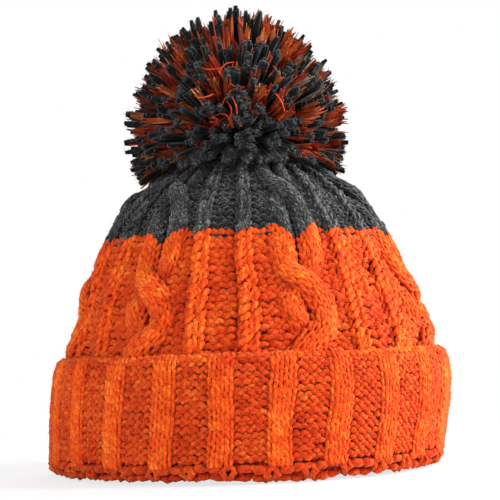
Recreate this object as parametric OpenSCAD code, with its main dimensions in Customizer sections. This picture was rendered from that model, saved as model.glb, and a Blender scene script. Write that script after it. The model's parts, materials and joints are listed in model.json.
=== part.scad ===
// Pom pom beanie: a knitted hat with a turned-up cuff, a darker crown and a tied yarn pom.
// The hat stands on the fold of its cuff, with its opening down and its back seam towards +Y.

/* [Hat body] */
// Inner radius of the knitted wall where the head goes in
head_r = 92.5; // [75:0.5:112]
// Thickness of the chunky knit of the body and crown
body_wall = 8.5; // [7:0.1:10.5]
// Height at which the straight wall starts to dome
dome_base_z = 50; // [41:1:60]
// Height at which the orange yarn changes to charcoal
colour_z = 124; // [103:1:149]
// Height of the crown's top, outside
crown_top_z = 174; // [160:1:209]
// Width of the sewn seam down the back
seam_w = 5; // [4:0.1:8]

/* [Cuff] */
// Height of the turned-up cuff
cuff_h = 62; // [51:0.2:75]
// Thickness of the cuff's outer layer
cuff_wall = 8.5; // [7:0.1:10.5]
// Thickness of the fold under the body's lower edge
fold_t = 8; // [6:0.1:10]
// Radius of the fold's rounded corners
fold_round = 5.5; // [4:0.1:7]
// Height of the curled cast-on edge along the cuff's top
cast_on_h = 5; // [4:0.1:8]

/* [Pom] */
// Diameter of the pom over the ends of its tufts
pom_d = 118; // [98:1:142]
// Height of the pom's centre above the crown's top
pom_rise = 14; // [11:0.5:17]
// Length of the tufts that stand out of the dense core
tuft_len = 9; // [7:0.1:11]
// Diameter of one tuft
tuft_d = 7; // [5:0.1:8.4]
// Number of tufts of all three yarns
tuft_count = 140; // [100:1:170]
// Diameter to which the pom's lower strands spread over the crown
lower_spread_d = 108; // [86:1:118]
// Angle that the pom flops each way in each of its two tilts
pom_tilt = 12; // [8:0.5:14.5]

/* [Tie] */
// Diameter of the bundle of tie yarns through the crown
tie_d = 6; // [4:0.1:7.2]
// Length of the tie between the crown and the pom's binding
tie_show = 6; // [5:0.1:8]
// Diameter of the binding round the middle of the pom's strands
binding_d = 14; // [11:0.1:17]
// Diameter of the knot under the crown
knot_d = 16; // [14:0.1:20]
// Height of the knot
knot_h = 6; // [4:0.1:8]
// Diameter of the ring of drawn-up yarn round the knot
gather_d = 25; // [23:0.1:30]
// Diameter of the gathering yarn
gather_yarn_d = 3.2; // [2.5:0.1:4]

/* [Clearances] */
// Gap between two knitted layers that slide on each other
layer_gap = 0.5; // [0.3:0.05:1]
// Gap between two pieces that seat on each other
seat_gap = 0.3; // [0.3:0.05:0.5]

/* [Hidden] */
$fn = 96;
dome_steps = 18; // straight stretches in each domed outline
corner_steps = 6; // straight stretches in each rounded corner
golden_angle = 137.508; // turn from one tuft to the next, which spreads them evenly

orange = [0.92, 0.33, 0.08];
charcoal = [0.22, 0.24, 0.26];
rust = [0.55, 0.14, 0.05];

body_r = head_r + body_wall;
cuff_in_r = body_r + layer_gap;
cuff_r = cuff_in_r + cuff_wall;
body_bottom_z = fold_t + seat_gap;
dome_h = crown_top_z - dome_base_z; // rise of the outer dome
inner_dome_h = dome_h - body_wall;

pivot_z = crown_top_z - body_wall / 2; // the pom tilts about the middle of the crown's knit
full_tilt = acos(cos(pom_tilt) * cos(pom_tilt)); // both tilts at their limits together
tie_r = tie_d / 2;
tie_hole_r = tie_r / cos(full_tilt) + body_wall / 2 * tan(full_tilt) + layer_gap;
tie_reach = body_wall / 2 + tie_show; // from the pivot to the binding
pom_z = crown_top_z + pom_rise;
pom_r = pom_d / 2;
core_r = pom_r - tuft_len;
binding_r = binding_d / 2;
binding_top_z = pom_z + binding_r;

// Where the crown reaches to when the pom tilts, seen from the pom
sweep_a = body_r + seat_gap;
sweep_b = dome_h + seat_gap;
sweep_from = atan2(sweep_b * cos(full_tilt), sweep_a * sin(full_tilt));
sweep_to = 25; // beyond the pom's widest part
sweep_top_z = swept(sweep_from)[1];

function ellipse_at(a, b, u) = [a * cos(u), dome_base_z + b * sin(u)];
function dome_line(a, b, u0, u1) =
    [for (i = [0:dome_steps]) ellipse_at(a, b, u0 + (u1 - u0) * i / dome_steps)];
function corner(x, z, r, a0) =
    [for (i = [0:corner_steps]) let(a = a0 + 90 * i / corner_steps) [x + r * cos(a), z + r * sin(a)]];
function dome_angle(rise) = asin((colour_z - dome_base_z) / rise);
function inner_z(r) = dome_base_z + inner_dome_h * sqrt(1 - pow(r / head_r, 2));
function swept(u) =
    let(p = ellipse_at(sweep_a, sweep_b, u), up = p[1] - pivot_z)
    [p[0] * cos(full_tilt) - up * sin(full_tilt), pivot_z + p[0] * sin(full_tilt) + up * cos(full_tilt)];

// The strip that the back seam closes
module seam_strip() {
    translate([-seam_w / 2, 0, -1]) cube([seam_w, cuff_r + 1, crown_top_z + 2]);
}

module body_layer() {
    rotate_extrude() polygon(concat(
        [[head_r, body_bottom_z], [body_r, body_bottom_z]],
        dome_line(body_r, dome_h, 0, dome_angle(dome_h)),
        dome_line(head_r, inner_dome_h, dome_angle(inner_dome_h), 0)));
}

module crown_layer() {
    rotate_extrude() polygon(concat(
        dome_line(body_r, dome_h, dome_angle(dome_h), acos(tie_hole_r / body_r)),
        dome_line(head_r, inner_dome_h, acos(tie_hole_r / head_r), dome_angle(inner_dome_h))));
}

// Outer layer of the cuff, with the fold that turns in under the body's lower edge
module cuff_layer() {
    rotate_extrude() polygon(concat(
        corner(head_r + fold_round, fold_round, fold_round, 180),
        corner(cuff_r - fold_round, fold_round, fold_round, 270),
        [[cuff_r, cuff_h - cast_on_h], [cuff_in_r, cuff_h - cast_on_h], [cuff_in_r, fold_t], [head_r, fold_t]]));
}

module cast_on_layer() {
    curl = min(cuff_wall / 2, cast_on_h) - 0.25;
    rotate_extrude() polygon(concat(
        [[cuff_in_r, cuff_h - cast_on_h], [cuff_r, cuff_h - cast_on_h]],
        corner(cuff_r - curl, cuff_h - curl, curl, 0),
        corner(cuff_in_r + curl, cuff_h - curl, curl, 90)));
}

module body_knit() {
    color(orange) difference() {
        body_layer();
        seam_strip();
    }
}

module crown_knit() {
    color(charcoal) difference() {
        crown_layer();
        seam_strip();
    }
}

module back_seam_body() {
    color(orange * 0.8) intersection() {
        body_layer();
        seam_strip();
    }
}

module back_seam_crown() {
    color(charcoal * 0.8) intersection() {
        crown_layer();
        seam_strip();
    }
}

// Yarn drawn through the last stitches, lying under the crown round the knot
module crown_gather_yarn() {
    r = gather_yarn_d / 2;
    color(charcoal * 0.7) translate([0, 0, inner_z(gather_d / 2) - r - seat_gap])
        rotate_extrude() translate([gather_d / 2, 0]) circle(r = r, $fn = 32);
}

// The knot bears on the crown from inside, and its neck reaches up to the tie
module tie_knot() {
    top = inner_z(knot_d / 2) - seat_gap;
    color(charcoal * 0.6) {
        rotate_extrude() polygon(concat(
            [[0, top - knot_h]],
            corner(knot_d / 2 - knot_h / 2, top - knot_h / 2, knot_h / 2, 270),
            corner(knot_d / 2 - knot_h / 2, top - knot_h / 2, knot_h / 2, 0),
            [[tie_r, top], [tie_r, pivot_z - tie_r - seat_gap], [0, pivot_z - tie_r - seat_gap]]));
    }
}

module cuff_band() {
    color(orange) difference() {
        cuff_layer();
        seam_strip();
    }
}

module cuff_cast_on_edge() {
    color(orange * 0.9) difference() {
        cast_on_layer();
        seam_strip();
    }
}

module back_seam_cuff() {
    color(orange * 0.8) intersection() {
        union() {
            cuff_layer();
            cast_on_layer();
        }
        seam_strip();
    }
}

// Tie yarns from the crown's middle to the binding, rounded at both ends about the pivot
module pom_tie_shank() {
    color(charcoal * 0.7) translate([0, 0, pivot_z]) {
        sphere(r = tie_r);
        intersection() {
            cylinder(r = tie_r, h = tie_reach);
            sphere(r = tie_reach);
        }
    }
}

// Yarn wound round the middle of the pom's strands
module pom_binding() {
    color(charcoal * 0.6) difference() {
        translate([0, 0, sweep_top_z]) cylinder(r = binding_r, h = binding_top_z - sweep_top_z);
        translate([0, 0, pivot_z]) sphere(r = tie_reach + seat_gap);
    }
}

// Dense heart of the pom, hollowed below to clear the crown when it flops
module pom_core() {
    color(charcoal) difference() {
        translate([0, 0, pom_z]) sphere(r = core_r);
        rotate_extrude() polygon(concat(
            [[0, 0], [0, sweep_top_z]],
            [for (i = [0:dome_steps]) swept(sweep_from + (sweep_to - sweep_from) * i / dome_steps)],
            [[swept(sweep_to)[0], 0]]));
        cylinder(r = binding_r + seat_gap, h = binding_top_z + seat_gap);
    }
}

// Strands that lie between the core and the crown, and bend out of the way when the pom flops
module pom_lower_strands() {
    a = body_r + layer_gap;
    b = dome_h + layer_gap;
    inner_r = binding_r + tie_r;
    color(charcoal * 0.8) intersection() {
        rotate_extrude() polygon(concat(
            dome_line(a, b, acos(inner_r / a), sweep_to),
            [for (i = [dome_steps:-1:0])
                swept(sweep_from + (sweep_to - sweep_from) * i / dome_steps) - [0, seat_gap]],
            [[inner_r, sweep_top_z - seat_gap]]));
        cylinder(r = lower_spread_d / 2, h = pom_z);
    }
}

// Tufts stand evenly over the core above the height that the crown reaches to.
// Every twentieth of them is dealt out to the yarns from first up to last.
module tufts(first, last) {
    lowest = (sweep_top_z + tuft_d / 2 - pom_z) / pom_r;
    for (i = [0:tuft_count - 1]) {
        share = (i * 7) % 20;
        if (share >= first && share < last) {
            up = lowest + (1 - lowest) * (i + 0.5) / tuft_count;
            translate([0, 0, pom_z]) rotate([0, acos(up), i * golden_angle])
                translate([0, 0, core_r + seat_gap])
                    cylinder(r = tuft_d / 2, h = tuft_len - seat_gap, $fn = 24);
        }
    }
}

module pom_charcoal_tufts() {
    color(charcoal) tufts(0, 13);
}

module pom_orange_tufts() {
    color(orange) tufts(13, 16);
}

module pom_rust_tufts() {
    color(rust) tufts(16, 20);
}

body_knit();
crown_knit();
back_seam_body();
back_seam_crown();
crown_gather_yarn();
tie_knot();
cuff_band();
cuff_cast_on_edge();
back_seam_cuff();
pom_tie_shank();
pom_binding();
pom_core();
pom_lower_strands();
pom_charcoal_tufts();
pom_orange_tufts();
pom_rust_tufts();
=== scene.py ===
import json
import math
import bpy
import numpy as np
from mathutils import Matrix, Vector

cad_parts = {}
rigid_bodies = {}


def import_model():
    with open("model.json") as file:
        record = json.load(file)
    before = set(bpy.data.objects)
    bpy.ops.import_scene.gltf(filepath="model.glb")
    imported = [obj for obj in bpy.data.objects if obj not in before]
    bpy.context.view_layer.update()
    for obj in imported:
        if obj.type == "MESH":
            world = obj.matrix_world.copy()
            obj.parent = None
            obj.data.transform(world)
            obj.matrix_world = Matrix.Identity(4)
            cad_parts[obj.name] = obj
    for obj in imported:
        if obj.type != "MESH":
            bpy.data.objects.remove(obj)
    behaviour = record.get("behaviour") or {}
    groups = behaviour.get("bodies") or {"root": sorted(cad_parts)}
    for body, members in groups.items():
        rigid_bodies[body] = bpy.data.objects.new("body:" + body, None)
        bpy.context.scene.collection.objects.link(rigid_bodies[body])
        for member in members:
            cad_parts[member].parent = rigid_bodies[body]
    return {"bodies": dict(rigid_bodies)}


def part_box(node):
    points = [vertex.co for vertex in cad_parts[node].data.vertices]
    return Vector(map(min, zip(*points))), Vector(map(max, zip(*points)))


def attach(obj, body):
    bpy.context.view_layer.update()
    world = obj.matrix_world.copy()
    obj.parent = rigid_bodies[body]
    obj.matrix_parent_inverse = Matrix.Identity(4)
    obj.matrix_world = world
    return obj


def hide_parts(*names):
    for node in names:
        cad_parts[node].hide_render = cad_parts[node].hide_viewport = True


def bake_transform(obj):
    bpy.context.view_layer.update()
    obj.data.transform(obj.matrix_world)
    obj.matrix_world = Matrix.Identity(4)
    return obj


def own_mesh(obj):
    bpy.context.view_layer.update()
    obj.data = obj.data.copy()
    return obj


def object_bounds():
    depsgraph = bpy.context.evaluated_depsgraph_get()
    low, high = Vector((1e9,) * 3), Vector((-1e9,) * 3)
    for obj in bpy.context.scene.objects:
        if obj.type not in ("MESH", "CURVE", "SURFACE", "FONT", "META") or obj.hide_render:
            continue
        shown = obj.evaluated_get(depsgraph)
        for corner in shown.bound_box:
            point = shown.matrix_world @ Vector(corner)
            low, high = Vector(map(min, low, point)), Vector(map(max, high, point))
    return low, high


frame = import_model()
cadLow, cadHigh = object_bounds()
mm = 0.001  # everything is made in millimetres, and linkPiece turns it into metres
print("frame loaded")


def nodeBox(node):
    low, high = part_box(node)
    return np.array(low) / mm, np.array(high) / mm


bodyHigh = nodeBox("body_knit")[1]
crownHigh = nodeBox("crown_knit")[1]
cuffHigh = nodeBox("cuff_band")[1]
cuffTop = nodeBox("cuff_cast_on_edge")[1][2]
tieLow, tieHigh = nodeBox("pom_tie_shank")
bindingLow, bindingHigh = nodeBox("pom_binding")
knotLow, knotHigh = nodeBox("tie_knot")
gatherLow, gatherHigh = nodeBox("crown_gather_yarn")


def linkObject(name, data):
    made = bpy.data.objects.new(name, data)
    bpy.context.scene.collection.objects.link(made)
    return made


view = {
    "distance": 780,
    "height": 62,
    "sideways": 1.6,
    "lens": 102.4,
    "sensor": 36,
    "pitch": 4.15,
    "roll": -2.0,
}


def makeCamera():
    data = bpy.data.cameras.new("camera")
    data.lens = view["lens"]
    data.sensor_width = view["sensor"]
    data.clip_start = 0.01
    data.clip_end = 50
    camera = linkObject("camera", data)
    pitch = Matrix.Rotation(math.radians(90 + view["pitch"]), 4, "X")
    roll = Matrix.Rotation(math.radians(view["roll"]), 4, "Z")
    place = Matrix.Translation((view["sideways"] * mm, -view["distance"] * mm, view["height"] * mm))
    camera.matrix_world = place @ (pitch @ roll)
    bpy.context.scene.camera = camera


makeCamera()
print("camera made")


def connect(tree, socket, value):
    # a value is a number, a colour or another node's output
    if isinstance(value, bpy.types.NodeSocket):
        tree.links.new(value, socket)
    elif isinstance(value, tuple):
        socket.default_value = (*value, 1)
    else:
        socket.default_value = value


def addNode(tree, kind, inputs=None, **settings):
    node = tree.nodes.new(kind)
    for key, value in settings.items():
        setattr(node, key, value)
    for key, value in (inputs or {}).items():
        connect(tree, node.inputs[key], value)
    return node


def doMath(tree, operation, *values):
    return addNode(tree, "ShaderNodeMath", dict(enumerate(values)), operation=operation).outputs[0]


def readAttribute(tree, name):
    return addNode(tree, "ShaderNodeAttribute", attribute_name=name).outputs["Fac"]


def colourRamp(tree, factor, stops):
    node = addNode(tree, "ShaderNodeValToRGB", {0: factor})
    ramp = node.color_ramp
    while len(ramp.elements) < len(stops):
        ramp.elements.new(0.5)
    for element, (position, colour) in zip(ramp.elements, stops):
        element.position = position
        element.color = (*colour, 1)
    return node.outputs[0]


def mixColour(tree, factor, first, second, blend="MIX"):
    inputs = {0: factor, 6: first, 7: second}  # the sockets that a colour mix uses
    return addNode(tree, "ShaderNodeMix", inputs, data_type="RGBA", blend_type=blend).outputs[2]


def newMaterial(name):
    material = bpy.data.materials.new(name)
    material.use_nodes = True
    material.node_tree.nodes.clear()
    return material, material.node_tree


# what every yarn has unless its own dictionary says otherwise
plainYarn = {
    "twist": 0.13,          # turns for each millimetre
    "plies": 2,
    "roughness": 0.8,
    "specular": 0.12,
    "sheen": 0.06,
    "sheenRoughness": 0.45,
    "sheenTint": (1, 0.6, 0.3),
    "streak": 0.5,          # contrast of the heather's fibres
    "fibreAlong": 0.35,     # how often the fibres change along the yarn, round it, and from yarn to yarn
    "fibreAround": 7.0,
    "fibreTone": 31.0,
    "toneShare": 0.12,      # how much whole stitches differ
    "blotchScale": 45.0,
    "blotchShare": 0.5,
    # painted shade in the grooves between the plies
    "plyShadeShare": 0.22,
    "lightness": 0.12,
    "plyDepth": 0.35,
    "fibreDepth": 0.25,
    "bump": 0.9,
    "bumpHeight": 0.9 * mm,
}
# each look's paintedShade colour is painted shade, multiplied into the yarn where it lies low or behind
orangeYarnLook = {
    "ramp": [(0.12, (0.38, 0.015, 0.002)), (0.38, (0.68, 0.050, 0.004)), (0.62, (0.80, 0.108, 0.008)),
             (0.90, (0.95, 0.31, 0.032))],
    "paintedShade": (0.50, 0.09, 0.20),
    "sheen": 0.24,
    "sheenTint": (1, 0.62, 0.22),
    "streak": 0.52,
}
charcoalYarnLook = {
    "ramp": [(0.15, (0.003, 0.003, 0.003)), (0.42, (0.016, 0.016, 0.0165)), (0.66, (0.056, 0.056, 0.058)),
             (0.90, (0.28, 0.285, 0.29))],
    "paintedShade": (0.07, 0.07, 0.07),
    "roughness": 0.95,
    "sheen": 0.3,
    "sheenTint": (0.9, 0.9, 0.9),
    "streak": 0.85,
}
pomCharcoalLook = {
    "ramp": [(0.15, (0.002, 0.002, 0.002)), (0.5, (0.006, 0.0058, 0.0057)), (0.75, (0.018, 0.0175, 0.017)),
             (0.98, (0.10, 0.10, 0.098))],
    "paintedShade": (0.25, 0.25, 0.25),
    "twist": 0.05,
    "sheen": 0.16,
    "sheenTint": (0.8, 0.85, 0.9),
    "streak": 0.8,
    "plyDepth": 0.1,
    "fibreDepth": 0.5,
}
pomOrangeLook = {
    "ramp": [(0.10, (0.07, 0.010, 0.004)), (0.33, (0.50, 0.055, 0.009)), (0.60, (0.92, 0.18, 0.030)),
             (0.90, (1.0, 0.48, 0.20))],
    "paintedShade": (0.5, 0.3, 0.4),
    "twist": 0.02,
    "toneShare": 0.26,
}
pomRustLook = {
    "ramp": [(0.10, (0.035, 0.004, 0.003)), (0.33, (0.28, 0.016, 0.006)), (0.60, (0.70, 0.060, 0.016)),
             (0.90, (0.94, 0.26, 0.13))],
    "paintedShade": (0.5, 0.3, 0.4),
    "twist": 0.02,
    "toneShare": 0.26,
}
marlYarnLook = {
    "ramp": [(0.2, (0.12, 0.06, 0.03)), (0.5, (0.48, 0.33, 0.20)), (0.9, (0.85, 0.74, 0.58))],
    "paintedShade": (0.8, 0.8, 0.8),
    "twist": 0.1,
}


def yarnMaterial(name, look):
    # the map called yarn holds millimetres along the yarn and turns round it
    look = {**plainYarn, **look}
    material, tree = newMaterial(name)
    shader = addNode(tree, "ShaderNodeBsdfPrincipled", {
        "Roughness": look["roughness"],
        "Specular IOR Level": look["specular"],
        "Sheen Weight": look["sheen"],
        "Sheen Roughness": look["sheenRoughness"],
        "Sheen Tint": look["sheenTint"],
    })
    addNode(tree, "ShaderNodeOutputMaterial", {0: shader.outputs[0]})

    yarn = addNode(tree, "ShaderNodeUVMap", uv_map="yarn").outputs[0]
    along, around = addNode(tree, "ShaderNodeSeparateXYZ", {0: yarn}).outputs[:2]
    spiral = doMath(tree, "ADD", around, doMath(tree, "MULTIPLY", along, look["twist"]))
    wave = doMath(tree, "SINE", doMath(tree, "MULTIPLY", spiral, math.pi * look["plies"]))
    ply = doMath(tree, "ABSOLUTE", wave)  # 1 on the crown of a ply, 0 in the groove
    tone = readAttribute(tree, "tone")

    place = addNode(tree, "ShaderNodeCombineXYZ", {
        0: doMath(tree, "MULTIPLY", along, look["fibreAlong"]),
        1: doMath(tree, "MULTIPLY", spiral, look["fibreAround"]),
        2: doMath(tree, "MULTIPLY", tone, look["fibreTone"]),
    })
    fibres = addNode(tree, "ShaderNodeTexNoise", {"Vector": place.outputs[0], "Scale": 1.0, "Detail": 4.0,
                                                  "Roughness": 0.65}).outputs[0]
    where = addNode(tree, "ShaderNodeTexCoord").outputs["Object"]
    blotch = addNode(tree, "ShaderNodeTexNoise", {"Vector": where, "Scale": look["blotchScale"],
                                                  "Detail": 2.0}).outputs[0]

    mixed = doMath(tree, "MULTIPLY", doMath(tree, "SUBTRACT", fibres, 0.5), look["streak"] * 2)
    # the plies' share paints shade into the grooves between them
    for source, share in ((tone, look["toneShare"]), (blotch, look["blotchShare"]), (ply, look["plyShadeShare"])):
        mixed = doMath(tree, "ADD", mixed, doMath(tree, "MULTIPLY", source, share))
    base = colourRamp(tree, doMath(tree, "ADD", mixed, look["lightness"]), look["ramp"])
    # painted shade: the yarn's colour is multiplied by its paintedShade colour as far as the attribute says
    base = mixColour(tree, readAttribute(tree, "paintedShade"), base, look["paintedShade"], "MULTIPLY")
    connect(tree, shader.inputs["Base Color"], base)

    height = doMath(tree, "MULTIPLY", ply, look["plyDepth"])
    height = doMath(tree, "ADD", height, doMath(tree, "MULTIPLY", fibres, look["fibreDepth"]))
    bump = addNode(tree, "ShaderNodeBump", {"Strength": look["bump"], "Distance": look["bumpHeight"],
                                            "Height": height})
    connect(tree, shader.inputs["Normal"], bump.outputs[0])
    return material


orangeYarn = yarnMaterial("orange_heather_yarn", orangeYarnLook)
charcoalYarn = yarnMaterial("charcoal_heather_yarn", charcoalYarnLook)
pomCharcoal = yarnMaterial("charcoal_pom_yarn", pomCharcoalLook)
pomOrange = yarnMaterial("orange_pom_yarn", pomOrangeLook)
pomRust = yarnMaterial("rust_pom_yarn", pomRustLook)
marlYarn = yarnMaterial("marl_pom_yarn", marlYarnLook)
print("materials made")


def smoothStep(t):
    t = np.clip(t, 0, 1)
    return t * t * (3 - 2 * t)


def unit(v):
    return v / np.maximum(np.linalg.norm(v, axis=-1, keepdims=True), 1e-9)


# painted shade: yarn that lies low in the cloth is painted darker, where shade would fall
cavityShade = {
    "share": 0.56,       # how much of the painted shade that a stitch gives counts beside its height
    "top": 2.15,         # no shade is painted above this, in millimetres from the cloth's middle
    "range": 3.3,
    "relief": 0.6,       # this share of the ribs' height doesn't count
}


def makeTubes(paths, normals, radii, sides=6, tone=None, paintedShade=None, height=None):
    # paths and normals are (count, samples, 3), and radii is (count, samples)
    # height is how far the yarn stands off the cloth's middle, and yarn that lies low gets painted shade
    count, samples = paths.shape[:2]
    tangent = unit(np.gradient(paths, axis=1))
    side = unit(np.cross(tangent, normals))
    up = unit(np.cross(side, tangent))
    turn = np.arange(sides) / sides * 2 * np.pi
    ring = (np.cos(turn)[None, None, :, None] * up[:, :, None, :]
            + np.sin(turn)[None, None, :, None] * side[:, :, None, :])
    verts = paths[:, :, None, :] + ring * radii[:, :, None, None]
    step = np.linalg.norm(np.diff(paths, axis=1), axis=-1)
    along = np.concatenate([np.zeros((count, 1)), np.cumsum(step, 1)], 1)
    if tone is None:
        tone = np.zeros((count, samples))
    if paintedShade is None:
        paintedShade = np.zeros((count, samples))
    paintedShade = np.repeat(paintedShade[:, :, None], sides, 2)
    # painted shade: darker where the yarn lies low, added to what each stitch gives
    if height is not None:
        facing = np.sum(ring * normals[:, :, None, :], -1)
        level = height[:, :, None] + radii[:, :, None] * facing
        paintedShade = paintedShade * cavityShade["share"] + np.clip((cavityShade["top"] - level) / cavityShade["range"], 0, 1)
        paintedShade = np.clip(paintedShade, 0, 1)
    return {"verts": verts, "along": along, "tone": tone, "paintedShade": paintedShade, "ring": ring}


def linkPiece(name, verts, loops, sizes, maps, values, material, bodyName, node):
    # loops are all faces' corners in one row, and sizes say how many each face has
    mesh = bpy.data.meshes.new(name)
    mesh.vertices.add(len(verts))
    mesh.vertices.foreach_set("co", (verts * mm).astype(np.float32).reshape(-1))
    mesh.loops.add(len(loops))
    mesh.loops.foreach_set("vertex_index", loops.astype(np.int32))
    mesh.polygons.add(len(sizes))
    mesh.polygons.foreach_set("loop_start", (np.cumsum(sizes) - sizes).astype(np.int32))
    mesh.polygons.foreach_set("loop_total", sizes.astype(np.int32))
    mesh.update(calc_edges=True)
    for mapName, uv in maps.items():
        layer = mesh.uv_layers.new(name=mapName)
        layer.data.foreach_set("uv", uv.astype(np.float32).reshape(-1))
    for attribute, value in values.items():
        made = mesh.attributes.new(attribute, "FLOAT", "POINT")
        made.data.foreach_set("value", value.astype(np.float32))
    mesh.polygons.foreach_set("use_smooth", np.ones(len(sizes), bool))
    mesh.materials.append(material)
    mesh.validate()
    piece = linkObject(name, mesh)
    if bodyName:
        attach(piece, bodyName)
    if node:
        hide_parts(node)
    print(name, len(sizes), "faces")
    return piece


def quadCorners(u0, u1, v0, v1):
    u0, u1, v0, v1 = np.broadcast_arrays(u0, u1, v0, v1)
    corners = [np.stack([u0, v0], -1), np.stack([u1, v0], -1), np.stack([u1, v1], -1), np.stack([u0, v1], -1)]
    return np.stack(corners, -2).reshape(-1, 2)


# the bake map is a square of cells, and each holds a short length of one yarn
bakeCell = {
    "margin": 0.06,
    "capPlaces": (0.03, 0.97),
    "capRadius": 0.02,
}


def makePiece(name, tubes, material, bodyName=None, node=None, cell=12):
    # tubes is a list of what makeTubes gives, and cell is how many samples share one cell of the bake map
    margin = bakeCell["margin"]
    filled = 1 - 2 * margin
    cellCount = sum(t["verts"].shape[0] * math.ceil((t["verts"].shape[1] - 1) / cell) for t in tubes)
    columns = max(1, math.ceil(math.sqrt(cellCount)))
    quads, caps, yarnMap, bakeMap, capMap = [], [], [], [], []
    start = used = 0
    for t in tubes:
        count, samples, sides = t["verts"].shape[:3]
        index = start + np.arange(count * samples * sides).reshape(count, samples, sides)
        start += count * samples * sides
        beside = np.roll(index, -1, axis=2)
        corners = [index[:, :-1], index[:, 1:], beside[:, 1:], beside[:, :-1]]
        quads.append(np.stack(corners, -1).reshape(-1, 4))
        turn = np.arange(sides) / sides
        yarnMap.append(quadCorners(t["along"][:, :-1, None], t["along"][:, 1:, None], turn, turn + 1 / sides))

        cells = math.ceil((samples - 1) / cell)
        number = used + np.arange(count)[:, None] * cells + (np.arange(samples - 1) // cell)[None, :]
        used += count * cells
        column = (number % columns)[:, :, None]
        row = (number // columns)[:, :, None]
        part = ((np.arange(samples - 1) % cell) / cell)[None, :, None]
        bakeMap.append(quadCorners((column + margin + filled * part) / columns,
                                   (column + margin + filled * (part + 1 / cell)) / columns,
                                   (row + margin + filled * turn) / columns,
                                   (row + margin + filled * (turn + 1 / sides)) / columns))
        ends = ((index[:, 0, ::-1], number[:, 0]), (index[:, -1, :], number[:, -1]))
        circle = np.stack([np.cos(turn * 2 * np.pi), np.sin(turn * 2 * np.pi)], -1)
        for (loop, cellNumber), place in zip(ends, bakeCell["capPlaces"]):
            caps.append(loop)
            centre = [(cellNumber % columns + place) / columns, (cellNumber // columns + 0.5) / columns]
            cap = np.stack(centre, -1)[:, None, :] + bakeCell["capRadius"] / columns * circle[None]
            capMap.append(cap.reshape(-1, 2))
    quads = np.concatenate(quads)
    loops = np.concatenate([quads.reshape(-1)] + [loop.reshape(-1) for loop in caps])
    sizes = np.concatenate([np.full(len(quads), 4)] + [np.full(len(loop), loop.shape[1]) for loop in caps])
    maps = {"OFBake": np.concatenate(bakeMap + capMap), "yarn": np.concatenate(yarnMap + capMap)}
    tone = [np.repeat(t["tone"], t["verts"].shape[2], axis=1).reshape(-1) for t in tubes]
    values = {"tone": np.concatenate(tone), "paintedShade": np.concatenate([t["paintedShade"].reshape(-1) for t in tubes])}
    verts = np.concatenate([t["verts"].reshape(-1, 3) for t in tubes])
    return linkPiece(name, verts, loops, sizes, maps, values, material, bodyName, node)


# the knit's shape is a profile turned round the z axis
shape = {
    "domeBase": 50,      # the dome starts here, on the cylinder
    "bodyLow": 8,        # the inner layer starts here, inside the fold
    "wall": 8.5,
    "foldTop": 9.0,      # the fold's round part goes up to here
    "foldLow": 4.6,      # the yarn's middle at the bottom of the fold
    "foldPower": 0.7,
    "taper": 1.8,        # the cuff is this much narrower at the fold
    "taperShare": 1.6,
    "roll": 5.6,         # radius of the rolled edge
    "rollTurn": 1.5,
    "rollYarn": 1.4,     # room for the yarn above the roll
    "tipIn": 1.8,        # the top of the cuff closes in on the body by this
    "tipHeight": 17,
    "drawIn": 4.4,       # the rib draws the body in above the cuff by this
    "drawHeight": 101,
    "drawSpread": 33,
    "bodyShift": 1.4,    # the body stands this far to the right at shiftHeight
    "shiftHeight": 76,
    "shiftSpread": 22,
    "cuffSlip": -3.7,    # the cuff's lower end stands this far to the right
    "cuffWave": 0.7,     # the cuff's edge waves up and down by this
    "swell": 0.5,
    "swells": ((3, 0.05, 0.6), (7, -0.08, 0.4)),  # waves round, how they turn with height, their shares
    "wander": 0.7,
    "step": 0.5,         # between a profile's points
    "domePoints": 200,
    "foldPoints": 60,
    "rollPoints": 30,
}
wallMiddle = bodyHigh[0] - shape["wall"] / 2
crownMiddle = crownHigh[2] - shape["wall"] / 2
cuffMiddle = cuffHigh[0] - shape["wall"] / 2
colourLine = bodyHigh[2]


def makeProfile(r, z, wave=0.0, slip=0.0, shift=0.0):
    s = np.concatenate([[0], np.cumsum(np.hypot(np.diff(r), np.diff(z)))])
    dense = np.arange(0, s[-1], shape["step"])
    r, z = np.interp(dense, s, r), np.interp(dense, s, z)
    tr, tz = np.gradient(r), np.gradient(z)
    length = np.hypot(tr, tz)
    return {"s": dense, "r": r, "z": z, "nr": tz / length, "nz": -tr / length,
            "wave": wave, "slip": slip, "shift": shift}


def heightToRun(profile, z):
    return float(np.interp(z, profile["z"], profile["s"]))


def onSurface(profile, angle, run, lift):
    # knitted cloth isn't perfectly round: its columns wander and its wall swells a little
    share = np.clip(run / profile["s"][-1], 0, 1)
    ripple = sum(np.sin(waves * angle + run * turning) * part for waves, turning, part in shape["swells"])
    lift = lift + shape["swell"] * ripple * np.clip(share * 5, 0, 1)
    wandering = shape["wander"] * np.sin(run * 0.10 + 4 * np.sin(2 * angle)) / wallMiddle
    run = run + profile["wave"] * share ** 2 * (np.sin(5 * angle + 1) + 0.6 * np.sin(11 * angle))
    angle = angle + wandering
    r, z, nr, nz = (np.interp(run, profile["s"], profile[key]) for key in ("r", "z", "nr", "nz"))
    out = r + nr * lift
    sideways = profile["slip"] * (1 - smoothStep(z / cuffTop))
    sideways = sideways + profile["shift"] * np.exp(-((z - shape["shiftHeight"]) / shape["shiftSpread"]) ** 2)
    points = np.stack([out * np.sin(angle) + sideways, -out * np.cos(angle), z + nz * lift], -1)
    normal = np.stack([nr * np.sin(angle), -nr * np.cos(angle), nz + 0 * angle], -1)
    return points, normal


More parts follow.
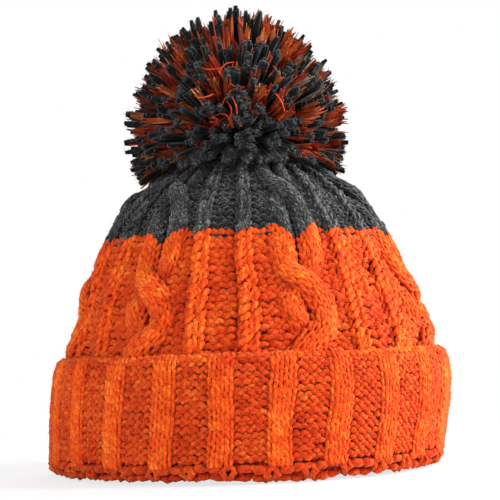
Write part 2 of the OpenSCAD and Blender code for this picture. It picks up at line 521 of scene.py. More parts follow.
def bodyProfile():
    turn = np.linspace(0, math.pi / 2, shape["domePoints"])
    rise = crownMiddle - shape["domeBase"]
    r = np.concatenate([[wallMiddle], wallMiddle * np.cos(turn)])
    z = np.concatenate([[shape["bodyLow"]], shape["domeBase"] + rise * np.sin(turn)])
    r = r - shape["drawIn"] * np.exp(-((z - shape["drawHeight"]) / shape["drawSpread"]) ** 2)
    return makeProfile(r, z, shift=shape["bodyShift"])


def cuffProfile():
    # from inside the hat, round the fold, up the outside and over the rolled edge
    width = shape["wall"]
    inner = cuffMiddle - width
    turn = np.linspace(0, math.pi, shape["foldPoints"])
    foldR = inner + width / 2 - width / 2 * np.cos(turn)
    foldR = foldR - shape["taper"] * smoothStep((foldR - inner) / width)
    foldZ = shape["foldTop"] - (shape["foldTop"] - shape["foldLow"]) * np.sin(turn) ** shape["foldPower"]
    up = np.linspace(0, 1, shape["foldPoints"])[1:]
    rollStart = cuffTop - shape["roll"] - shape["rollYarn"]
    upZ = shape["foldTop"] + up * (rollStart - shape["foldTop"])
    upR = cuffMiddle - shape["taper"] * (1 - smoothStep(up * shape["taperShare"]))
    upR = upR - shape["tipIn"] * smoothStep((upZ - cuffTop + shape["tipHeight"]) / shape["tipHeight"])
    over = np.linspace(0, shape["rollTurn"], shape["rollPoints"])[1:]
    rollR = upR[-1] - shape["roll"] * (1 - np.cos(over))
    rollZ = rollStart + shape["roll"] * np.sin(over)
    profile = makeProfile(np.concatenate([foldR, upR, rollR]), np.concatenate([foldZ, upZ, rollZ]),
                          wave=shape["cuffWave"], slip=shape["cuffSlip"])
    profile["foldEnd"] = float(np.sum(np.hypot(np.diff(foldR), np.diff(foldZ))))
    return profile


body = bodyProfile()
cuff = cuffProfile()
lineRun = heightToRun(body, colourLine)
print("profiles made")


# K is a knit stitch and P a purl stitch. R and S are twisted knit stitches, whose right leg lies fat and
# slanting in front, and S sits half a course above R, so the two together look braided
knitLook = {
    "samples": 10,
    "crowding": 0.05,
    "sides": 6,
    "row": 4.0,          # from course to course
    "radius": 1.3,
    "loop": 3.3,         # half the loop's height
    "lean": 0.25,        # how far the legs lean, in stitches
    "depth": 1.35,       # how far the yarn goes in and out
    "swell": 0.16,       # the yarn is fatter where it comes to the front
    "ribLift": 1.45,     # ribs stand out and purl gutters lie back by this
    "edge": 0.22,        # the yarn goes from front to back over this share of a stitch at each side
    "uneven": 0.38,
    "unevenYarn": 0.09,
    "columns": 4.5,      # a stitch's width, for how far it may stray sideways
    "twistShear": 0.38,
    "twistOver": 1.0,
    "twistFat": 0.12,
    "twistLow": 0.18,    # twisted stitches are shorter by this share
    "twistLean": 0.08,
    "twistVary": (0.25, 1.25),
    "twistUneven": (0.5, 0.4),
    "purlHead": 0.15,    # the purl bumps' upper arcs stand out further than the lower ones
    "purlHeadFat": 0.4,
    "purlLean": 0.07,
    "purlLow": 0.12,
    "purlDepth": 0.5,
    "purlSwell": 1.2,
    # painted shade in the purl gutters, which lie back
    "gutterShade": 0.8,
    "slimmest": 0.45,    # the yarn is drawn thinner near the top, down to this
    "slimPower": 0.7,
}


def stitchPlaces(wales, look):
    # more places where the yarn turns round than along its legs
    even = np.linspace(0, wales, wales * look["samples"] + 1)
    return even - look["crowding"] * np.sin(4 * np.pi * even)


def readWales(values, t):
    k = np.clip(np.floor(t).astype(int), 0, values.shape[1] - 2)
    f = smoothStep(t - k)
    return values[:, k] * (1 - f) + values[:, k + 1] * f


def stitchNoise(random, look, n, wales, t):
    # sideways in stitches, along the rows, in and out, and the yarn's thickness
    uneven = look["uneven"]
    spreads = (uneven / look["columns"], uneven, uneven, look["unevenYarn"])
    return [readWales(random.normal(0, spread, (n, wales + 1)), t) for spread in spreads]


def stitchTone(random, n, wales, t):
    return readWales(random.uniform(-1, 1, (n, wales + 1)), t)


def everyCourse(starts, rows):
    # the angle and height at which each course of each strip begins
    return np.repeat(np.array(starts), len(rows))[:, None], np.tile(np.array(rows), len(starts))[:, None]


def slimming(profile, run, look, fullRadius):
    if not fullRadius:
        return 1
    around = np.interp(run, profile["s"], profile["r"])
    return np.clip(around / fullRadius, look["slimmest"], 1) ** look["slimPower"]


def knitCourses(profile, plan, starts, waleAngle, rows, look, random, lift=0.0, fullRadius=None, endDrop=0.0):
    # plan has a letter for each stitch of a strip, and starts are the angles at which the strips begin
    sign = np.array([-1.0 if letter == "P" else 1.0 for letter in plan])
    twisted = np.array([1.0 if letter in "RS" else 0.0 for letter in plan])
    raised = np.array([look["row"] / 2 if letter == "S" else 0.0 for letter in plan])
    wales = len(plan)
    t = stitchPlaces(wales, look)
    phase = 2 * np.pi * t
    k = np.arange(wales)
    knots = np.stack([k + look["edge"], k + 1 - look["edge"]], 1).ravel()
    side, twist, raising = (np.interp(t, knots, np.repeat(values, 2)) for values in (sign, twisted, raised))
    relief = np.interp(t, k + 0.5, sign)
    purl = (1 - side) / 2
    n = len(starts) * len(rows)
    angle0, run0 = everyCourse(starts, rows)
    shiftX, shiftY, shiftZ, fat = stitchNoise(random, look, n, wales, t)
    twist = twist * readWales(random.uniform(*look["twistVary"], (n, wales + 1)), t)
    acrossRows, inAndOut = look["twistUneven"]
    shiftY, shiftZ = shiftY * (1 + acrossRows * twist), shiftZ * (1 + inAndOut * twist)

    lean = look["lean"] - look["twistLean"] * twist + look["purlLean"] * purl
    x = t + lean * np.sin(2 * phase) - look["twistShear"] * np.cos(phase) * twist + shiftX
    loop = look["loop"] * (1 - look["purlLow"] * purl - look["twistLow"] * twist)
    run = run0 - loop * np.cos(phase) + shiftY + raising
    out = -side * look["depth"] * np.cos(2 * phase) * (1 + look["purlDepth"] * purl)
    out = out + relief * look["ribLift"] + shiftZ + lift
    out = out - look["twistOver"] * np.sin(phase) * twist - look["purlHead"] * np.cos(phase) * purl
    out = out - endDrop * (1 - smoothStep(t) * smoothStep(wales - t))
    points, normal = onSurface(profile, angle0 + x * waleAngle, run, out)

    radius = look["radius"] * (1 - look["swell"] * (1 + look["purlSwell"] * purl) * side * np.cos(2 * phase))
    radius = radius * (1 - look["twistFat"] * np.sin(phase) * twist) * (1 + fat)
    radius = radius * (1 - look["purlHeadFat"] * look["purlHead"] * np.cos(phase) * purl)
    radius = radius * slimming(profile, run0, look, fullRadius)
    tone = stitchTone(random, n, wales, t)
    # painted shade: the purl gutters are darker, and so is yarn that lies low
    paintedShade = np.broadcast_to((1 - relief) / 2, (n, len(t))) * look["gutterShade"]
    level = out - lift - cavityShade["relief"] * relief * look["ribLift"]
    return makeTubes(points, normal, radius, look["sides"], tone, paintedShade, level)


cable = {
    "strand": 4,         # stitches in each of the two strands
    "stitchWidth": 0.70, # against the ground's stitches
    "radius": 1.1,
    # height of each crossing, and 1 where the first strand is in front or -1 where it is behind
    "crossings": [(67.0, 1), (95.6, 1), (143.0, -1), (170.0, 1)],
    "slant": 13.5,       # a crossing takes this much of the height to each side
    "swing": 1.6,        # how far each strand's middle goes sideways, in stitches
    "round": 3.3,
    "low": 0.3,
    "overPower": 1.5,
    "front": 2.6,
    "back": 2.0,
    "droop": 5.0,        # the courses sag between the strands by this
    "droopReach": 1.5,
    "tilt": 0.6,
    "slim": 0.07,        # the yarn is drawn thinner where a strand slants
    "lookAhead": 0.2,
    # painted shade on the strand that lies behind, and towards the strands' edges
    "behindShade": 1.1,
    "edgeShade": 1.3,
    "edgeShadeFrom": 0.6,
}


def crossingState(profile, run):
    # where the first strand is, from -1 at the left to 1 at the right, and how far it lies over the other
    sway, over = -np.ones_like(run), np.zeros_like(run)
    for height, front in cable["crossings"]:
        part = np.clip((run - heightToRun(profile, height)) / cable["slant"], -1, 1)
        sway = sway * np.sin(part * np.pi / 2)
        over = over + front * np.cos(part * np.pi / 2) ** cable["overPower"]
    return sway, over


def cableCourses(profile, centres, waleAngle, rows, look, random, fullRadius=None):
    wales = cable["strand"]
    cableWidth = wales * cable["stitchWidth"]
    t = stitchPlaces(wales, look)
    phase = 2 * np.pi * t
    n = len(centres) * len(rows)
    angle0, run0 = everyCourse(centres, rows)
    made = []
    for strand in (1, -1):
        shiftX, shiftY, shiftZ, fat = stitchNoise(random, look, n, wales, t)
        across = (t - wales / 2 + look["lean"] * np.sin(2 * phase) + shiftX) * cable["stitchWidth"]
        run = run0 - look["loop"] * np.cos(phase) + shiftY
        sway, over = crossingState(profile, run)
        ahead = crossingState(profile, run + cable["lookAhead"])[0]
        around = np.interp(run, profile["s"], profile["r"]) * waleAngle
        steep = strand * cable["swing"] * (ahead - sway) / cable["lookAhead"] * around
        lean = np.arctan(steep) * cable["tilt"]
        sway, over = sway * strand, over * strand
        x = cable["swing"] * sway + across * np.cos(lean)
        run = run - across * around * np.sin(lean)
        sag = cable["droop"] * (np.abs(x) / cable["droopReach"] - 1)
        run = run + sag * np.clip(1 - np.abs(over) * cable["droopReach"], 0, 1)
        level = -look["depth"] * np.cos(2 * phase) + shiftZ
        out = level + cable["round"] * (1 - (across * 2 / cableWidth) ** 2) - cable["low"]
        out = out + np.where(over > 0, cable["front"], cable["back"]) * over
        points, normal = onSurface(profile, angle0 + x * waleAngle, run, out)
        radius = cable["radius"] * (1 - look["swell"] * np.cos(2 * phase)) * (1 + fat)
        radius = radius * (1 - cable["slim"] * np.sin(np.abs(lean)))
        radius = radius * slimming(profile, run0, look, fullRadius)
        tone = stitchTone(random, n, wales, t)
        # painted shade where this strand passes behind the other, and near its edges
        paintedShade = np.clip(-over, 0, 1) * cable["behindShade"]
        paintedShade = paintedShade + np.clip(np.abs(across) / cableWidth * 2 - cable["edgeShadeFrom"], 0, 1) * cable["edgeShade"]
        made.append(makeTubes(points, normal, radius, look["sides"], tone, paintedShade, level))
    return made


bodyPlan = {
    "seed": 11,
    "repeats": 7,
    "ground": "PPPRSPPPRSPPPP",
    "endDrop": 1.3,              # the ground's first and last stitches lie this far under the cable's edges
    "repeatStitches": 16,
    "firstStitch": 1.0,          # from the cable's middle
    "cableAngle": 18.0,          # degrees from the front to one cable's middle
    "hidden": 8,                 # the courses begin this far below the cuff's top
    "topGap": 1.2,               # in courses, from the last one's middle to the colour change
}
bodyWale = 2 * math.pi / (bodyPlan["repeats"] * bodyPlan["repeatStitches"])
cableCentres = [math.radians(bodyPlan["cableAngle"]) + 2 * math.pi * k / bodyPlan["repeats"]
                for k in range(bodyPlan["repeats"])]
groundStarts = [centre + bodyPlan["firstStitch"] * bodyWale for centre in cableCentres]
hiddenRun = heightToRun(body, cuffTop - bodyPlan["hidden"])


def makeBody():
    random = np.random.default_rng(bodyPlan["seed"])
    count = int((lineRun - hiddenRun) / knitLook["row"])
    rows = lineRun - knitLook["row"] * (bodyPlan["topGap"] + np.arange(count))[::-1]
    half = len(rows) // 2
    tubes = []
    for name, chosen in (("body_rib_low", rows[:half]), ("body_rib_high", rows[half:])):
        tubes.append(knitCourses(body, bodyPlan["ground"], groundStarts, bodyWale, chosen, knitLook, random,
                                 endDrop=bodyPlan["endDrop"]))
        makePiece(name, tubes[-1:], orangeYarn, "hat", "body_knit")
    strands = cableCourses(body, cableCentres, bodyWale, rows, knitLook, random)
    makePiece("body_cables", strands, orangeYarn, "hat")
    return tubes + strands


crownPlan = {
    "seed": 12,
    "ribLift": 1.7,
    "swell": 0.2,
    "firstCourse": -0.2,             # in courses, from the colour change
    "narrowFrom": 158,               # above this height the stitches are knitted together in twos, twice
    "decreases": ((56, 24.0), (28, 13.0)),  # stitches round, and the radius where each part ends
    "topStart": 0.3,
    "topLift": -0.4,
    "fullRadius": 85,                # the yarn is drawn thinner where the hat is narrower than this
    "topFullRadius": 60,
}


def makeCrown():
    random = np.random.default_rng(crownPlan["seed"])
    look = dict(knitLook, ribLift=crownPlan["ribLift"], swell=crownPlan["swell"])
    row = knitLook["row"]
    first = lineRun + row * crownPlan["firstCourse"]
    rows = np.arange(first, heightToRun(body, crownPlan["narrowFrom"]), row)
    ground = knitCourses(body, bodyPlan["ground"], groundStarts, bodyWale, rows, look, random,
                         fullRadius=crownPlan["fullRadius"], endDrop=bodyPlan["endDrop"])
    makePiece("crown_rib_and_purl", [ground], charcoalYarn, "hat", "crown_knit")
    strands = cableCourses(body, cableCentres, bodyWale, rows, knitLook, random, crownPlan["fullRadius"])
    makePiece("crown_cables", strands, charcoalYarn, "hat")
    tops = []
    run = rows[-1] + row
    for wales, stop in crownPlan["decreases"]:
        topRows = []
        while np.interp(run, body["s"], body["r"]) > stop:
            topRows.append(run)
            run += row
        tops.append(knitCourses(body, "K" * wales, [crownPlan["topStart"]], 2 * math.pi / wales, topRows,
                                knitLook, random, lift=crownPlan["topLift"],
                                fullRadius=crownPlan["topFullRadius"]))
    makePiece("crown_decreases", tops, charcoalYarn, "hat")
    return [ground, *strands]


bodyTubes = makeBody()
crownTubes = makeCrown()
print("body and crown made")


cuffPlan = {
    "seed": 21,
    "repeats": 23,
    "plan": "KKKPPPP",
    "firstColumn": 0.6,      # degrees from the front to the middle of a knit column
    "row": 3.55,
    "radius": 1.12,
    "margins": (1.6, 1.5),   # from the fold to the first course, and from the last course to the edge
    "foldPlan": "PPK",
    "foldRepeats": 34,
    "foldStart": 0.6,
    "foldRow": 4.1,
    "foldLift": 0.6,
    # painted shade over the fold's yarn
    "foldShade": (0.5, 0.4),
}
cuffStitches = cuffPlan["plan"] * cuffPlan["repeats"]
cuffWale = 2 * math.pi / len(cuffStitches)
cuffStart = math.radians(cuffPlan["firstColumn"]) - 1.5 * cuffWale + math.pi
cuffEnd = float(cuff["s"][-1])
cuffLook = dict(knitLook, row=cuffPlan["row"], radius=cuffPlan["radius"], loop=3.0, depth=1.25, ribLift=1.1,
                uneven=0.22, lean=0.18, purlHead=0.1)
foldLook = dict(cuffLook, radius=1.55, depth=1.0, uneven=0.55, lean=0.3)


def makeCuff():
    random = np.random.default_rng(cuffPlan["seed"])
    low, high = cuffPlan["margins"]
    rows = np.arange(cuff["foldEnd"] + low, cuffEnd - high, cuffLook["row"])
    half = len(rows) // 2
    made = []
    for name, chosen in (("cuff_rib_low", rows[:half]), ("cuff_rib_high", rows[half:])):
        band = knitCourses(cuff, cuffStitches, [cuffStart], cuffWale, chosen, cuffLook, random)
        made.append((makePiece(name, [band], orangeYarn, "cuff", "cuff_band"), band))
    stitches = cuffPlan["foldPlan"] * cuffPlan["foldRepeats"]
    rows = np.arange(cuffPlan["foldStart"], cuff["foldEnd"], cuffPlan["foldRow"])
    fold = knitCourses(cuff, stitches, [cuffStart], 2 * math.pi / len(stitches), rows, foldLook, random,
                       lift=cuffPlan["foldLift"])
    # painted shade: the fold's yarn is darker all over
    share, least = cuffPlan["foldShade"]
    fold["paintedShade"] = np.clip(fold["paintedShade"] * share + least, 0, 1)
    made.append((makePiece("cuff_fold", [fold], orangeYarn, "cuff"), fold))
    return made


castOn = {
    "seed": 22,
    "samples": 8,
    "inset": 1.0,
    "swing": 0.9,
    "uneven": 0.2,
    "radius": 1.35,
    "sides": 7,
    # the height from which the cast-on yarn gets painted shade
    "level": 1.5,
}


def makeCastOn():
    # the cast-on yarn chains along the edge, just inside the roll
    random = np.random.default_rng(castOn["seed"])
    count = len(cuffStitches)
    t = np.linspace(0, count, count * castOn["samples"] + 1)
    angle = cuffStart + t * 2 * math.pi / count
    same = np.ones((1, len(t)))
    made = []
    for strand in (0, 1):
        turn = np.pi * t + strand * math.pi
        uneven = readWales(random.normal(0, castOn["uneven"], (1, count + 1)), t)[0]
        run = cuffEnd - castOn["inset"] + castOn["swing"] * np.cos(turn) + uneven
        points, normal = onSurface(cuff, angle[None], run[None], castOn["swing"] * np.sin(turn)[None])
        made.append(makeTubes(points, normal, same * castOn["radius"], castOn["sides"],
                              stitchTone(random, 1, count, t), None, same * castOn["level"]))
    return makePiece("cuff_cast_on", made, orangeYarn, "cuff", "cuff_cast_on_edge"), made[0]


brim = {
    "seed": 23,
    "samples": 8,
    "sides": 5,
    "ribLift": 0.9,
    "firstCourse": 2.0,
    "rowStretch": 1.15,
}


def blendIntoFold(piece):
    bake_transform(piece)


def makeBrim():
    # the rib goes on inside the cuff, and shows when the cuff is turned down
    random = np.random.default_rng(brim["seed"])
    look = dict(cuffLook, samples=brim["samples"], sides=brim["sides"], ribLift=brim["ribLift"])
    rows = np.arange(brim["firstCourse"], hiddenRun, cuffPlan["row"] * brim["rowStretch"])
    rib = knitCourses(body, cuffStitches, [cuffStart], cuffWale, rows, look, random)
    blendIntoFold(makePiece("brim_inside_cuff", [rib], orangeYarn))


cuffPieces = makeCuff()
cuffPieces.append(makeCastOn())
makeBrim()
print("cuff made")


# one thin layer closes the knit from behind: smooth outside, where the stitches cover it, and bumpy inside,
# with painted shade all over
lining = {
    "stepShare": 4,      # rings of the mesh for each course
    "pointsPerStitch": 3,
    "bump": 0.55,
    "waver": 0.5,
    "bumpRise": 0.4,
    "tone": 0.3,
    "mapHeight": 30,
    "wallLifts": (-2.3, -3.7),  # the outer and inner face, from the cloth's middle
    "cuffLifts": (-1.6, -2.9),
    "bodyEnds": (1.0, 1.0),     # from the lowest end, and below the colour change
    "crownEnds": (2.0, 4.0),    # below the colour change, and from the top
    "cuffEnds": (0.5, 2.0),     # from both ends of the cuff
    "paintedShade": {"body": 0.5, "crown": 0.6, "cuff": 0.5},
}


def makeSheet(name, profile, ends, lifts, wales, row, material, paintedShadeAmount, bodyName=None):
    firstRun, lastRun = ends
    outerLift, innerLift = lifts
    angles = np.linspace(0, 2 * math.pi, wales * lining["pointsPerStitch"], endpoint=False)
    angle, run = np.meshgrid(angles, np.arange(firstRun, lastRun, row / lining["stepShare"]))
    bump = np.abs(np.sin(np.pi * run / row + lining["waver"] * np.sin(angle * wales)))
    bump = lining["bump"] * np.abs(np.sin(angle * wales / 2)) * bump
    inner = onSurface(profile, angle, run, innerLift - bump + lining["bumpRise"])[0]
    outer = onSurface(profile, angle, run, np.full_like(run, outerLift))[0]
    verts = np.concatenate([outer.reshape(-1, 3), inner.reshape(-1, 3)])
    index = np.arange(run.size).reshape(run.shape)
    after = np.roll(index, -1, axis=1)
    shift = run.size
    quads = np.concatenate([
        np.stack([index[:-1], after[:-1], after[1:], index[1:]], -1).reshape(-1, 4),
        np.stack([index[:-1], index[1:], after[1:], after[:-1]], -1).reshape(-1, 4) + shift,
        np.stack([index[0], index[0] + shift, after[0] + shift, after[0]], -1),
        np.stack([index[-1], after[-1], after[-1] + shift, index[-1] + shift], -1),
    ])
    loops = quads.reshape(-1)
    flat = np.tile(np.stack([angle / (2 * math.pi), run / lastRun], -1).reshape(-1, 2), (2, 1))
    uv = flat[loops] * np.array([2 * math.pi * wallMiddle, lining["mapHeight"]])
    values = {"tone": np.full(len(verts), lining["tone"]), "paintedShade": np.full(len(verts), paintedShadeAmount)}
    sizes = np.full(len(quads), 4)
    return linkPiece(name, verts, loops, sizes, {"yarn": uv}, values, material, bodyName, None)


def makeInside():
    stitches = bodyPlan["repeats"] * bodyPlan["repeatStitches"]
    row, lifts, paintedShade = knitLook["row"], lining["wallLifts"], lining["paintedShade"]
    low, high = lining["bodyEnds"]
    piece = makeSheet("inside_body", body, (low, lineRun - high), lifts, stitches, row, orangeYarn,
                      paintedShade["body"])
    blendIntoFold(piece)
    low, high = lining["crownEnds"]
    makeSheet("inside_crown", body, (lineRun - low, float(body["s"][-1]) - high), lifts, stitches, row,
              charcoalYarn, paintedShade["crown"], "hat")
    low, high = lining["cuffEnds"]
    piece = makeSheet("inside_cuff", cuff, (low, cuffEnd - high), lining["cuffLifts"], len(cuffStitches),
                      cuffPlan["row"], orangeYarn, paintedShade["cuff"], "cuff")
    cuffPieces.append((piece, None))


makeInside()
print("inside made")


seamLook = {
    "stitch": 3.8,
    "width": 1.5,
    "radius": 1.15,
    "sides": 6,
    "lift": 2.6,
    "swing": 0.7,
    "hidden": 6,         # the body's seam begins this far below the cuff's top
    "top": 166,
    "edgeGap": 1,
}


def yarnAlong(points, radius, sides=7, normals=None):
    # one yarn through a list of points
    points = np.asarray(points)[None]
    if normals is None:
        normals = unit(points * np.array([1, 1, 0]) + np.array([1e-3, 0, 0.2]))
    samples = points.shape[1]
    tones = np.random.default_rng(samples).uniform(-1, 1, (1, samples // 6 + 1))
    tone = np.repeat(tones, 6, 1)[:, :samples]
    return makeTubes(points, normals, np.full(points.shape[:2], radius), sides, tone)


def makeSeam(name, profile, first, last, material, bodyName, node):
    strands = []
    for side in (0, math.pi):
        run = np.arange(first, last, seamLook["stitch"] / 8)
        turn = 2 * np.pi * run / seamLook["stitch"] / 2 + side
        around = np.interp(run, profile["s"], profile["r"])
        angle = math.pi + seamLook["width"] * np.sin(turn) / around
        lift = seamLook["lift"] + seamLook["swing"] * np.cos(turn)
        points, normals = onSurface(profile, angle, run, lift)
        strands.append(yarnAlong(points, seamLook["radius"], seamLook["sides"], normals[None]))
    return makePiece(name, strands, material, bodyName, node)


def makeSeams():
    low = heightToRun(body, cuffTop - seamLook["hidden"])
    makeSeam("seam_body", body, low, lineRun, orangeYarn, "hat", "back_seam_body")
    makeSeam("seam_crown", body, lineRun, heightToRun(body, seamLook["top"]), charcoalYarn,
             "hat", "back_seam_crown")
    piece = makeSeam("seam_cuff", cuff, cuff["foldEnd"], cuffEnd - seamLook["edgeGap"], orangeYarn,
                     "cuff", "back_seam_cuff")
    cuffPieces.append((piece, None))


makeSeams()


tieLook = {
    "gatherSamples": 120,
    "gatherShare": 0.9,  # the gathering yarn's thickness against its box
    "gatherWaves": 14,
    "gatherWave": 0.5,
    "yarns": 3,
    "yarnSamples": 60,
    "yarnTurns": 1.5,
    "coilTurns": 4,
    "coilYarn": 1.3,
    "coilSamples": 60,   # for each turn
    "knotYarn": 1.4,
    "knotSamples": 160,
    "knotSwing": (0.62, 0.24),
}


def makeGather():
    turn = np.linspace(0, 2 * math.pi, tieLook["gatherSamples"])
    thick = (gatherHigh[2] - gatherLow[2]) / 2
    reach = (gatherHigh[0] - gatherLow[0]) / 2 - thick
    wave = tieLook["gatherWave"] * np.sin(tieLook["gatherWaves"] * turn)
    height = (gatherLow[2] + gatherHigh[2]) / 2 + wave
    ring = np.stack([reach * np.cos(turn), reach * np.sin(turn), height], -1)
    yarn = yarnAlong(ring, thick * tieLook["gatherShare"])
    makePiece("gathering_yarn", [yarn], charcoalYarn, "hat", "crown_gather_yarn")


def makeTie():
    thick = (tieHigh[0] - tieLow[0]) / 2
    rise = np.linspace(0, 1, tieLook["yarnSamples"])
    strands = []
    for k in range(tieLook["yarns"]):
        turn = 2 * math.pi * (k / tieLook["yarns"] + rise * tieLook["yarnTurns"])
        points = np.stack([thick * 0.5 * np.cos(turn), thick * 0.5 * np.sin(turn),
                           tieLow[2] + rise * (tieHigh[2] - tieLow[2])], -1)
        strands.append(yarnAlong(points, thick * 0.5))
    makePiece("tie_yarns", strands, charcoalYarn, "tie", "pom_tie_shank")


def makeBinding():
    yarn = tieLook["coilYarn"]
    turns = tieLook["coilTurns"]
    reach = (bindingHigh[0] - bindingLow[0]) / 2 - yarn
    turn = np.linspace(0, 2 * math.pi * turns, tieLook["coilSamples"] * turns)
    height = bindingLow[2] + yarn + (bindingHigh[2] - bindingLow[2] - 2 * yarn) * turn / turn[-1]
    coil = np.stack([reach * np.cos(turn), reach * np.sin(turn), height], -1)
    makePiece("binding_yarn", [yarnAlong(coil, yarn)], charcoalYarn, "binding", "pom_binding")


def makeKnot():
    yarn = tieLook["knotYarn"]
    turn = np.linspace(0, 2 * math.pi, tieLook["knotSamples"])
    middle = (knotLow + knotHigh) / 2
    size = (knotHigh - knotLow) / 2
    steady, swinging = tieLook["knotSwing"]
    swing = steady + swinging * np.cos(3 * turn)
    knot = np.stack([size[0] * swing * np.cos(2 * turn), size[1] * swing * np.sin(2 * turn),
                     middle[2] + (size[2] - yarn) * np.sin(3 * turn)], -1)
    makePiece("tie_knot_yarn", [yarnAlong(knot, yarn)], charcoalYarn, "hat", "tie_knot")


makeGather()
makeTie()
makeBinding()
makeKnot()
print("seams and tie made")


pom = {
    "seed": 31,
    "centre": np.array([-3.0, 0.0, 181.0]),
    "wide": 59.5,        # from the tie to the tips, sideways and up
    "tall": 69.0,
    "charcoal": 650,     # strands of each colour
    "orange": 285,
    "rust": 310,
    "marl": 16,
    "clumps": 190,
    "clumping": 0.5,
    "lengths": (0.95, 0.028, 0.80, 1.01),  # middle, how uneven, shortest and longest, of the pom's reach
    "start": 18,
    "clearance": 4.2,
    "diagonalClearance": 3.0,  # and this much more half way between front and side
    "nearest": 0.2,      # keeps a point at the crown's middle from flying off
    "lowFront": np.array([-0.05, -0.75, -0.6]),
    "lowFrontFrom": 0.80,      # only charcoal strands show within this of lowFront
    "marlTowards": np.array([0.75, -0.35, 0.55]),
    "marlEvery": 3,
    "pressed": 0.6,      # the lower strands' height when the pom leans as far as it can
    "replaces": {
        "pom_charcoal": "pom_charcoal_tufts",
        "pom_charcoal_low_front": "pom_lower_strands",
        "pom_charcoal_low_side": "pom_lower_strands",
        "pom_orange": "pom_orange_tufts",
        "pom_rust": "pom_rust_tufts",
    },
}
# how the yarns of one strand lie round its middle
bundle = {
    "turn": 0.3,
    "first": 0.6,
    "off": (0.8, 1.2),
    "root": 0.5,         # how far apart the yarns are at the tie, against the strand's gap
    "curlTurns": 1.2,
    "toneSpread": 0.25,
}
thickStrand = {
    "yarns": 4,
    "radii": [0.9, 1.1, 1.2, 1.3, 1.35, 0.95],  # from the pom's middle to the tip
    "vary": (0.85, 1.2),
    "sides": 5,
    "length": 1.0,
    "bend": 0.09,
    "gap": 1.05,
    "flare": 0.5,
    "ragged": 0.03,
    "curl": 0.0,
    "tipShare": 0.75,    # the place before the tip lies this near to it, for a blunt end
}
thinStrand = {
    "yarns": 13,
    "radii": [0.40, 0.50, 0.56, 0.58, 0.58, 0.52, 0.22],
    "vary": (0.75, 1.25),
    "sides": 4,
    "length": 0.985,
    "bend": 0.1,
    "gap": 2.0,
    "flare": 0.45,
    "ragged": 0.03,
    "curl": 0.6,
    "tipShare": 0.0,
}
# the dense middle is wound from fat yarn
heart = {
    "radius": 33.0,
    "yarn": 2.2,
    "spacing": 1.5,      # from turn to turn, in yarn radii
    "rounds": 2.0,
    "samples": 40,       # for each turn
    "lowest": -0.08,
    "ripple": 0.8,
    "rippleTurns": 3.3,
}
looseFilament = {
    "count": 13,
    "samples": 10,
    "towards": np.array([-0.05, -0.95, 0.3]),
    "spread": 0.24,
    "curl": 2.2,
    "rise": 2.2,
    "reach": (0.88, 0.97),
    "length": (8, 15),
    "radius": 0.36,
    "toneShare": 0.5,
}


def evenDirections(count, random, lowest=-0.5):
    k = np.arange(count) + 0.5
    z = 1 - (1 - lowest) * k / count
    angle = np.pi * (1 + 5 ** 0.5) * k
    flat = np.sqrt(np.maximum(0, 1 - z * z))
    directions = np.stack([flat * np.cos(angle), flat * np.sin(angle), z], -1)
    return unit(directions + random.normal(0, 0.5 / math.sqrt(count), directions.shape))


def keepOffCrown(points):
    # a point inside the crown, or nearer to it than the clearance, moves out to lie over it
    diagonal = np.sin(2 * np.arctan2(points[..., 1], points[..., 0])) ** 2
    clearance = pom["clearance"] + pom["diagonalClearance"] * diagonal
    wide = bodyHigh[0] + clearance
    rise = crownHigh[2] - shape["domeBase"] + clearance
    flat = np.hypot(points[..., 0], points[..., 1])
    up = points[..., 2] - shape["domeBase"]
    inside = np.sqrt((flat / wide) ** 2 + (np.maximum(up, 0) / rise) ** 2)
    grow = 1 / np.clip(inside, pom["nearest"], 1)
    return np.stack([points[..., 0] * grow, points[..., 1] * grow, shape["domeBase"] + up * grow], -1)


def pomReach(directions):
    flat = np.hypot(directions[:, 0], directions[:, 1])
    up = directions[:, 2]
    tall = np.where(up > 0, pom["tall"], pom["wide"])
    return 1 / np.sqrt((flat / pom["wide"]) ** 2 + (up / tall) ** 2)


def makeBundles(directions, lengths, look, random):
    # each strand is several yarns side by side, which flare and end unevenly
    n, count, samples = len(directions), look["yarns"], len(look["radii"])
    f = np.linspace(0, 1, samples)[None, :, None]
    sideways = unit(np.cross(directions, random.normal(0, 1, (n, 3))))
    across = unit(np.cross(sideways, directions))
    bend = (random.normal(0, look["bend"], n) * lengths)[:, None, None]
    reach = pom["start"] + (lengths[:, None, None] - pom["start"]) * f
    points = directions[:, None, :] * reach + sideways[:, None] * bend * f ** 2
    f = f[:, None]
    turn = 2 * np.pi * (np.arange(count) / count + random.uniform(0, 1, (n, 1)))
    turn = turn + random.normal(0, bundle["turn"], (n, count))
    off = np.sqrt((np.arange(count) + bundle["first"]) / count)[None, :]
    off = off * random.uniform(*bundle["off"], (n, count)) * look["gap"]
    offset = (np.cos(turn) * off)[:, :, None] * sideways[:, None]
    offset = offset + (np.sin(turn) * off)[:, :, None] * across[:, None]
    stretch = 1 + random.normal(0, look["ragged"], (n, count, 1, 1)) * f
    paths = points[:, None] * stretch + offset[:, :, None, :] * (bundle["root"] + look["flare"] * f ** 2)
    curl = random.normal(0, look["curl"], (n, count, 1, 3))
    paths = paths + curl * np.sin(np.pi * f * bundle["curlTurns"])
    paths = keepOffCrown(paths.reshape(n * count, samples, 3) + pom["centre"])
    normals = np.broadcast_to(np.repeat(across, count, 0)[:, None], paths.shape)
    return paths, normals


def strandTones(random, n, samples, each=1):
    tone = np.repeat(random.uniform(-1, 1, (n, 1)), samples, 1)
    tone = np.repeat(tone, each, 0) + random.normal(0, bundle["toneSpread"], (n * each, 1))
    # painted shade, darkest at the pom's middle and none at the tips
    paintedShade = np.repeat((1 - np.linspace(0, 1, samples) ** 2)[None], n * each, 0)
    return np.clip(tone, -1, 1), paintedShade


def pressStrands(piece):
    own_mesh(piece)


